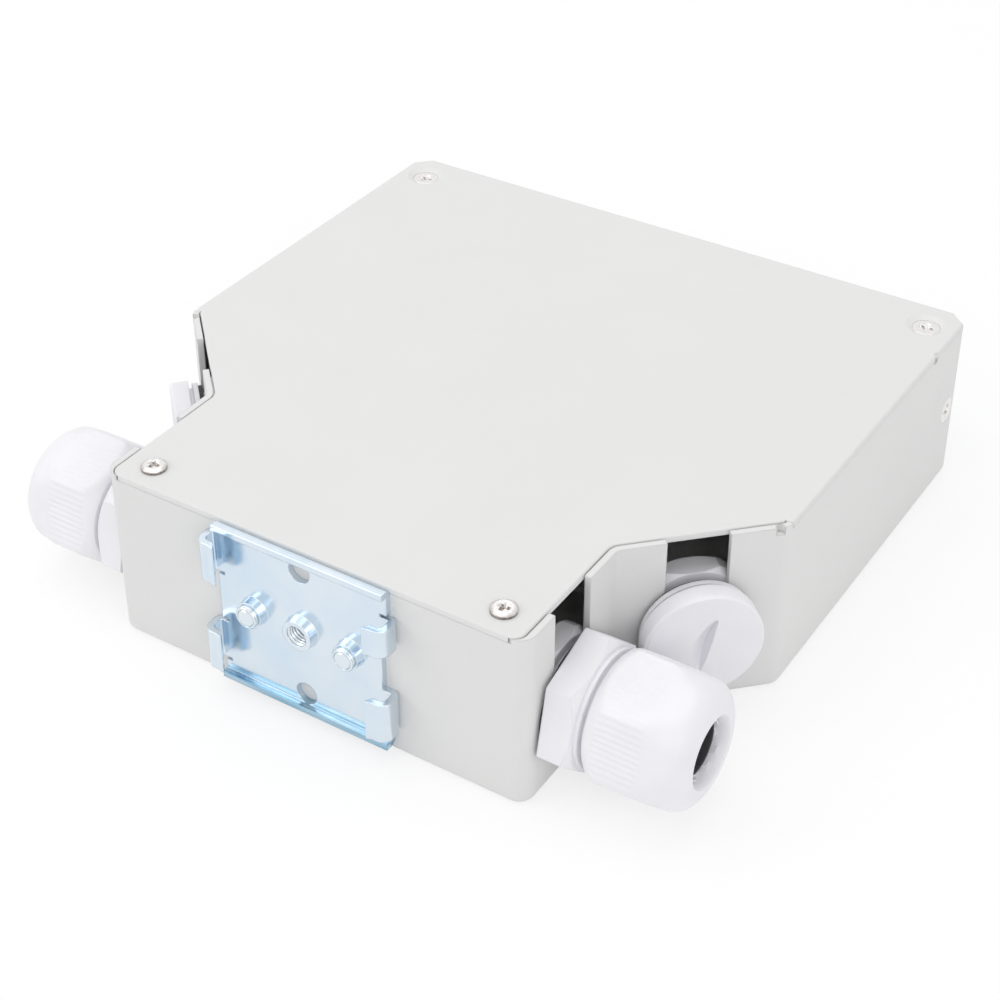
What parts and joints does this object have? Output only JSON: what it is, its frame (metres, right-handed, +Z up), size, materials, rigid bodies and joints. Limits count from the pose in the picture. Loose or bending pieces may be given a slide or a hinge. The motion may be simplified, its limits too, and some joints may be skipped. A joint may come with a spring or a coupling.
{
  "type": "rail-mounted fibre splice box",
  "caption": "Flat sheet-metal fibre splice box with slanted shoulders, rail clip, cable glands, blanking plugs and a rear adapter panel.",
  "frame": {"origin": "on the underside of the floor, midway across the box and midway along its depth", "axes": "+Z up out of the cover with the box lying flat, -Y out of the face that carries the rail clip, +X to the right seen from that face"},
  "size_m": [0.1376, 0.1475, 0.0359],
  "materials": {
    "grey_painted_sheet": "fine textured powder coat, light grey",
    "grey_painted_cover": "fine textured powder coat, light grey",
    "grey_painted_panel": "fine textured powder coat, light grey",
    "zinc_plated_clip": "blue passivated zinc plating",
    "bright_screw_steel": "bright plated",
    "zinc_screw_steel": "blue passivated zinc plating",
    "brass_posts": "plain turned",
    "white_nylon": "moulded, satin",
    "white_nylon_nut": "moulded, satin with fine ribs",
    "white_nylon_locknut": "moulded, satin",
    "white_plug_plastic": "moulded, satin",
    "white_tray_plastic": "moulded, satin",
    "grey_seal_rubber": "moulded",
    "black_ring_rubber": "moulded",
    "blue_adapter_plastic": "moulded",
    "clear_white_cap_plastic": "moulded, slightly see-through in use"
  },
  "bodies": {
    "box": {"base_shell": "grey_painted_sheet", "top_cover": "grey_painted_cover", "adapter_panel": "grey_painted_panel", "din_rail_clip": "zinc_plated_clip", "splice_tray": "white_tray_plastic", "splice_tray_lid": "white_tray_plastic", "tray_standoffs": "brass_posts", "tray_screws": "bright_screw_steel", "cover_screw_front_left": "bright_screw_steel", "cover_screw_rear_left": "bright_screw_steel", "panel_screw_left": "bright_screw_steel", "clip_screw_left": "zinc_screw_steel", "gland_body_left": "white_nylon", "gland_gasket_left": "black_ring_rubber", "gland_locknut_left": "white_nylon_locknut", "blanking_plug_left": "white_plug_plastic", "plug_ring_left": "black_ring_rubber", "plug_locknut_left": "white_nylon_locknut", "cover_screw_front_right": "bright_screw_steel", "cover_screw_rear_right": "bright_screw_steel", "panel_screw_right": "bright_screw_steel", "clip_screw_right": "zinc_screw_steel", "gland_body_right": "white_nylon", "gland_gasket_right": "black_ring_rubber", "gland_locknut_right": "white_nylon_locknut", "blanking_plug_right": "white_plug_plastic", "plug_ring_right": "black_ring_rubber", "plug_locknut_right": "white_nylon_locknut", "fibre_adapter_1": "blue_adapter_plastic", "outer_dust_cap_1": "clear_white_cap_plastic", "inner_dust_cap_1": "clear_white_cap_plastic", "fibre_adapter_2": "blue_adapter_plastic", "outer_dust_cap_2": "clear_white_cap_plastic", "inner_dust_cap_2": "clear_white_cap_plastic", "fibre_adapter_3": "blue_adapter_plastic", "outer_dust_cap_3": "clear_white_cap_plastic", "inner_dust_cap_3": "clear_white_cap_plastic", "fibre_adapter_4": "blue_adapter_plastic", "outer_dust_cap_4": "clear_white_cap_plastic", "inner_dust_cap_4": "clear_white_cap_plastic", "fibre_adapter_5": "blue_adapter_plastic", "outer_dust_cap_5": "clear_white_cap_plastic", "inner_dust_cap_5": "clear_white_cap_plastic", "fibre_adapter_6": "blue_adapter_plastic", "outer_dust_cap_6": "clear_white_cap_plastic", "inner_dust_cap_6": "clear_white_cap_plastic"},
    "seal_left": {"gland_seal_left": "grey_seal_rubber"},
    "dome_nut_left": {"gland_dome_nut_left": "white_nylon_nut"},
    "seal_right": {"gland_seal_right": "grey_seal_rubber"},
    "dome_nut_right": {"gland_dome_nut_right": "white_nylon_nut"}
  },
  "joints": [
    {"name": "seal_slide_left", "type": "slide", "parent": "box", "child": "seal_left", "axis": [-1, 0, 0], "range_m": [0, 0.0045]},
    {"name": "dome_nut_turn_left", "type": "hinge", "parent": "seal_left", "child": "dome_nut_left", "pos_m": [-0.055, -0.05, 0.0146], "axis": [-1, 0, 0], "range_deg": [0, 1080]},
    {"name": "seal_slide_right", "type": "slide", "parent": "box", "child": "seal_right", "axis": [1, 0, 0], "range_m": [0, 0.0045]},
    {"name": "dome_nut_turn_right", "type": "hinge", "parent": "seal_right", "child": "dome_nut_right", "pos_m": [0.055, -0.05, 0.0146], "axis": [1, 0, 0], "range_deg": [0, 1080]}
  ],
  "couplings": [
    {"joint": "seal_slide_left", "follows": "dome_nut_turn_left", "m_per_rad": 0.00023873},
    {"joint": "seal_slide_right", "follows": "dome_nut_turn_right", "m_per_rad": 0.00023873}
  ]
}
